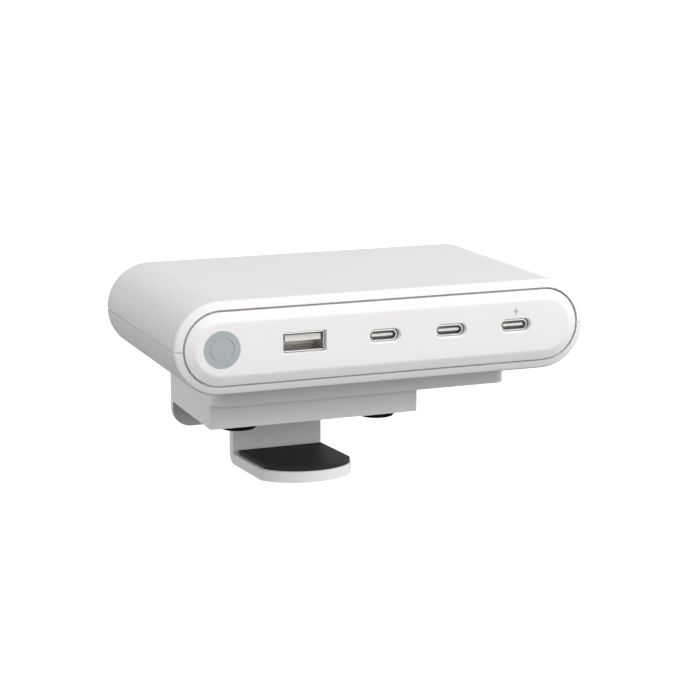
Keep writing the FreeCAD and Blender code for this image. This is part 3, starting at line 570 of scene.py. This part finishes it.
screw_set("shell_screws", 0)
screw_set("board_screws", 180)
screw_set("plate_screws", 180)
screw_set("block_screws", 0, near_spread=9.0 * mm)
screw_set("flange_screws", 90)


# ---- main board ---------------------------------------------------------------------
# A glass-fibre board with green solder resist over etched tracks. It stands on four
# pillars of the lower shell and carries the electronics.
def dressed(node, body, look, name=None):
    """A merged, smooth-shaded copy of a solid, with its finish."""
    piece = bpy.data.objects.new(name or node + "_skin", nodes[node].data.copy())
    scene.collection.objects.link(piece)
    softened(piece.data)
    piece.data.materials.clear()
    piece.data.materials.append(look)
    fitted(piece, body, node)


board_green = bpy.data.materials.new("board_green")
graph = blank(board_green)
place = graph.make("ShaderNodeTexCoord", out="Object")
axes = graph.make("ShaderNodeSeparateXYZ", (), {0: place})
track_pitch = 1.27 * mm
lines = axes.also("X").zigzag(track_pitch / 2) < 0.22 * mm
cross = axes.also("Y").zigzag(track_pitch) < 0.20 * mm
areas = graph.make("ShaderNodeTexNoise", (), {"Vector": place, "Scale": 70.0}) > 0.5
tracks = (lines * areas).most(cross * (1 - areas))
resist = graph.make("ShaderNodeMix", {"data_type": "RGBA"}, {
    0: tracks, 6: (0.02, 0.13, 0.06, 1), 7: (0.06, 0.26, 0.12, 1)}, out=2)
raised = graph.make("ShaderNodeBump", (), {"Height": tracks, "Distance": 0.03 * mm})
shader = graph.make("ShaderNodeBsdfPrincipled", (), {
    "Base Color": resist, "Normal": raised, "Roughness": 0.38 - tracks * 0.08})
graph.make("ShaderNodeOutputMaterial", (), {"Surface": shader})
dressed("main_board", "base", board_green)

# ---- transformer and wound parts ----------------------------------------------------
# A ferrite frame whose window is filled by a coil wrapped in yellow polyester tape, a
# ferrite ring choke on the mains side, and three moulded ferrite inductors.
ferrite_black = plastic("ferrite_black", (0.06, 0.06, 0.07), 0.60, 0.25, 0.020, 0.15)
for node in ("transformer_core", "mains_choke", "output_inductors"):
    dressed(node, "base", ferrite_black)

winding_tape = bpy.data.materials.new("winding_tape")
graph = blank(winding_tape)
place = graph.make("ShaderNodeTexCoord", out="Object")
wraps = graph.make("ShaderNodeTexWave", {"bands_direction": "Y"}, {
    "Vector": place, "Scale": 90.0, "Distortion": 1.5, "Detail": 2.0, "Detail Scale": 40.0})
tape = graph.make("ShaderNodeMix", {"data_type": "RGBA"}, {
    0: wraps, 6: (0.58, 0.43, 0.07, 1), 7: (0.80, 0.66, 0.20, 1)}, out=2)
laps = graph.make("ShaderNodeBump", (), {"Height": wraps, "Distance": 0.05 * mm})
shader = graph.make("ShaderNodeBsdfPrincipled", (), {
    "Base Color": tape, "Normal": laps, "Roughness": 0.25 + wraps * 0.15})
graph.make("ShaderNodeOutputMaterial", (), {"Surface": shader})
dressed("transformer_winding", "base", winding_tape)

# ---- capacitors, chips and fuse -----------------------------------------------------
# Aluminium cans in dark shrink sleeve, moulded epoxy chips, and a ceramic fuse with
# plated end caps, all soldered to the board.
can_sleeve = plastic("can_sleeve", (0.05, 0.06, 0.11), 0.30, 0.60, 0.006, 0.10, 0.5)
dressed("bulk_capacitors", "base", can_sleeve)
dressed("output_capacitors", "base", can_sleeve)
chip_black = plastic("chip_black", (0.02, 0.02, 0.02), 0.50, 0.15, 0.010, 0.20)
dressed("controller_chips", "base", chip_black)

fuse_low, fuse_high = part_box("fuse")
cap_length = 2.4 * mm
fuse_ceramic = bpy.data.materials.new("fuse_ceramic")
graph = blank(fuse_ceramic)
place = graph.make("ShaderNodeTexCoord", out="Object")
across = graph.make("ShaderNodeSeparateXYZ", (), {0: place})
from_middle = abs(across - (fuse_low.x + fuse_high.x) / 2)
cap = from_middle > (fuse_high.x - fuse_low.x) / 2 - cap_length
grain = graph.make("ShaderNodeTexNoise", (), {"Vector": place, "Scale": 2000.0})
glaze = graph.make("ShaderNodeMix", {"data_type": "RGBA"}, {
    0: cap, 6: (0.78, 0.76, 0.70, 1), 7: (0.60, 0.60, 0.62, 1)}, out=2)
step = graph.make("ShaderNodeBump", (), {"Height": cap + grain * 0.1, "Distance": 0.1 * mm})
shader = graph.make("ShaderNodeBsdfPrincipled", (), {
    "Base Color": glaze, "Metallic": cap, "Normal": step, "Roughness": 0.40 - cap * 0.12})
graph.make("ShaderNodeOutputMaterial", (), {"Surface": shader})
dressed("fuse", "base", fuse_ceramic)

# ---- heat spreader, thermal pad and insulating sheet --------------------------------
# A brushed aluminium plate under the upper shell takes the transformer's heat through a
# grey silicone pad. A pale film on the casing's floor keeps the board from the screws.
spreader_aluminium = metal("spreader_aluminium", (0.75, 0.76, 0.77), 0.34, (1, 30, 30))
dressed("heat_spreader", "base", spreader_aluminium)
pad_grey = plastic("pad_grey", (0.45, 0.45, 0.50), 0.70, 0.60, 0.020, 0.06)
dressed("thermal_pad", "base", pad_grey)
sheet_clear = plastic("sheet_clear", (0.85, 0.85, 0.80), 0.20, 1.00, 0.004, 0.03, 0.5)
dressed("insulating_sheet", "base", sheet_clear)

# ---- end panels ---------------------------------------------------------------------
# Smooth glossier white mouldings with a sloping edge, hooked behind the shells' ledges.
# The front one has the charging sockets, the back one the mains inlet.
panel_white = plastic("panel_white", (0.84, 0.825, 0.832), 0.38, 0.30, 0.006, 0.01)
dressed("front_panel", "base", panel_white)
dressed("rear_panel", "base", panel_white)

# ---- badge and charging mark --------------------------------------------------------
# A grey disc with one turned ring, plain where a maker's sign would be, pressed into the
# panel; and a small grey bolt inlaid over the fast-charging socket.
badge_grey = plastic("badge_grey", (0.39, 0.43, 0.44), 0.35, 0.25, 0.006, 0.03)
dressed("front_badge", "base", badge_grey)
mark_grey = plastic("mark_grey", (0.42, 0.43, 0.44), 0.50, 0.25, 0.006)
dressed("charging_mark", "base", mark_grey)

# ---- square charging socket ---------------------------------------------------------
# A folded steel shell, a pale plastic tongue on its carrier, and four gold contacts on
# the underside of the tongue.
socket_steel = metal("socket_steel", (0.62, 0.62, 0.62), 0.28, (1, 12, 1))
dressed("usb_a_shell", "base", socket_steel)
socket_white = plastic("socket_white", (0.72, 0.70, 0.66), 0.45, 0.30, 0.010)
dressed("usb_a_tongue", "base", socket_white)
contact_gold = metal("contact_gold", (0.83, 0.62, 0.24), 0.25, (8, 1, 8), 0.002, 0.08)
dressed("usb_a_contacts", "base", contact_gold)

# ---- round-ended charging sockets ---------------------------------------------------
# Three drawn steel shells, each round a moulded core whose thin tongue carries gold
# contacts above and below.
socket_core = plastic("socket_core", (0.78, 0.78, 0.78), 0.30, 0.30, 0.008, 0.05, 0.5)
for number in ("1", "2", "3"):
    dressed("usb_c_shell_" + number, "base", socket_steel)
    dressed("usb_c_core_" + number, "base", socket_core)

contact_low, contact_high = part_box("usb_c_contacts")
strip = Vector((0.25 * mm, contact_high.y - contact_low.y, 0.05 * mm))
strip_sizes = {
    "Width": strip.x, "Length": strip.y, "Thickness": strip.z,
    "Strips": 6, "Strip pitch": 1.0 * mm, "Sockets": 3, "Socket pitch": 21.6 * mm,
    "Face gap": contact_high.z - contact_low.z - strip.z, "Finish": contact_gold}
graph, given, size = shape_tree("contact_strips", strip_sizes)
block = graph.make("ShaderNodeCombineXYZ", (), {
    0: size["Width"], 1: size["Length"], 2: size["Thickness"]})
strips = graph.make("GeometryNodeMeshCube", (), {"Size": block})
for count, pitch, axis in ((size["Strips"], size["Strip pitch"], 0),
                           (2, size["Face gap"], 2),
                           (size["Sockets"], size["Socket pitch"], 0)):
    stride = graph.make("ShaderNodeCombineXYZ", (), {axis: pitch})
    line = graph.make("GeometryNodeMeshLine", (), {"Count": count, "Offset": stride})
    strips = graph.make("GeometryNodeInstanceOnPoints", (), {"Points": line,
                                                             "Instance": strips})
close_tree(graph, strips, size["Finish"])
strips = grown("usb_c_strips", graph.tree, strip_sizes, place=contact_low + strip / 2)
fitted(strips, "base", "usb_c_contacts")

# ---- mains inlet --------------------------------------------------------------------
# A deep black thermoplastic cup for a loose mains lead. It stands on the board with its
# mouth in the rear panel's opening, and two round steel pins stand in its floor.
socket_black = plastic("socket_black", (0.05, 0.05, 0.055), 0.40, 0.30, 0.010, 0.08, 0.4)
dressed("power_inlet", "base", socket_black)
dressed("inlet_pins", "base", socket_steel)


# ---- mounting plate, clamp block and rear flange ------------------------------------
# Machined and folded steel under a white powder coat with a faint orange peel. The plate
# is screwed to the casing, the block to the plate and the flange across their backs.
def powder_coat(name, colour, roughness):
    """Powder paint: an even pebbled skin over a fine grain."""
    look = bpy.data.materials.new(name)
    graph = blank(look)
    place = graph.make("ShaderNodeTexCoord", out="Object")
    peel = graph.make("ShaderNodeTexNoise", (), {"Vector": place, "Detail": 1.0,
                                                 "Scale": 900.0})
    speck = graph.make("ShaderNodeTexNoise", (), {"Vector": place, "Detail": 3.0,
                                                  "Scale": 4000.0})
    shade = graph.make("ShaderNodeMix", {"data_type": "RGBA"}, {
        0: speck, 6: tuple(c * 0.97 for c in colour) + (1,),
        7: tuple(c * 1.02 for c in colour) + (1,)}, out=2)
    skin = graph.make("ShaderNodeBump", (), {"Height": peel + speck * 0.3,
                                             "Distance": 0.02 * mm})
    shader = graph.make("ShaderNodeBsdfPrincipled", (), {
        "Base Color": shade, "Normal": skin, "Specular IOR Level": 0.35,
        "Roughness": roughness + (peel - 0.5) * 0.15})
    graph.make("ShaderNodeOutputMaterial", (), {"Surface": shader})
    return look


bracket_white = powder_coat("bracket_white", (0.78, 0.765, 0.772), 0.42)
for node in ("mounting_plate", "clamp_block", "rear_flange"):
    dressed(node, "base", bracket_white)

# ---- rubber feet --------------------------------------------------------------------
# Two black rubber discs that grip the desk top, each moulded in one with a plug that is
# pressed into the block's underside.
foot_rubber = plastic("foot_rubber", (0.006, 0.006, 0.006), 0.85, 0.30, 0.020, 0.25, 0.05)
dressed("rubber_foot_left", "base", foot_rubber)
dressed("rubber_foot_right", "base", foot_rubber)

# ---- sliding jaw --------------------------------------------------------------------
# A bent steel strip in the same powder coat. Its web slides in the block's channel and
# its toe carries a black rubber pad under the desk top; the washer spreads the knob's
# pressure over the flange's slot.
dressed("clamp_jaw", "jaw", bracket_white)
rubber_black = plastic("rubber_black", (0.013, 0.013, 0.013), 0.72, 0.30, 0.020, 0.25, 0.2)
dressed("jaw_pad", "jaw", rubber_black)
dressed("clamp_washer", "jaw", screw_steel)

# ---- clamp stud ---------------------------------------------------------------------
# A zinc-plated steel stud, threaded along its length. It is moulded into the knob and
# screws into the jaw's web.
thread_pitch = 0.8 * mm
thread_height = 0.35 * mm
stud_steel = metal("stud_steel", (0.50, 0.50, 0.52), 0.32,
                   thread=(thread_pitch, thread_height))
dressed("clamp_stud", "knob", stud_steel, "threaded_stud")

# ---- clamp knob ---------------------------------------------------------------------
# A black hand knob, injection-moulded round the stud. It is rounded at both ends and has
# eight finger scallops, which stop short of the end next to the flange.
knob_black = plastic("knob_black", (0.03, 0.03, 0.03), 0.35, 0.40, 0.010, 0.10, 0.5)
knob_low, knob_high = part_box("clamp_knob")
knob_sizes = {
    "Radius": (knob_high.x - knob_low.x) / 2, "Length": knob_high.y - knob_low.y,
    "Lobes": 8, "Scallop": 0.7 * mm, "Plain front": 0.2, "Edge": 0.22, "Finish": knob_black}
graph, given, size = shape_tree("knob", knob_sizes)
grid = graph.make("GeometryNodeMeshGrid", (), {
    "Size X": 1.0, "Size Y": 1.0, "Vertices X": 97, "Vertices Y": 29})
spot = graph.make("ShaderNodeSeparateXYZ", (), {0: graph.make("GeometryNodeInputPosition")})
angle = spot * math.tau
sweep = (spot.also("Y") + 0.5) * math.pi
end = sweep.of("COSINE")
along = end.of("SIGN") * abs(end) ** size["Edge"] * -0.5
rim = (sweep.of("SINE").most(0)) ** size["Edge"]
finger = (angle * size["Lobes"]).of("COSINE").most(0)
cut = finger * finger * (along + 0.5 > size["Plain front"]) * size["Scallop"]
radius = rim * (size["Radius"] - cut)
skin = graph.make("ShaderNodeCombineXYZ", (), {
    0: radius * angle.of("COSINE"), 1: (along + 0.5) * size["Length"],
    2: radius * angle.of("SINE")})
shaped = graph.make("GeometryNodeSetPosition", (), {"Geometry": grid, "Position": skin})
merged = graph.make("GeometryNodeMergeByDistance", (), {"Geometry": shaped,
                                                        "Distance": 0.001 * mm})
close_tree(graph, merged, size["Finish"])
knob_place = Vector(((knob_low.x + knob_high.x) / 2, knob_low.y,
                     (knob_low.z + knob_high.z) / 2))
knob = grown("hand_knob", graph.tree, knob_sizes, place=knob_place)
fitted(knob, "knob", "clamp_knob")
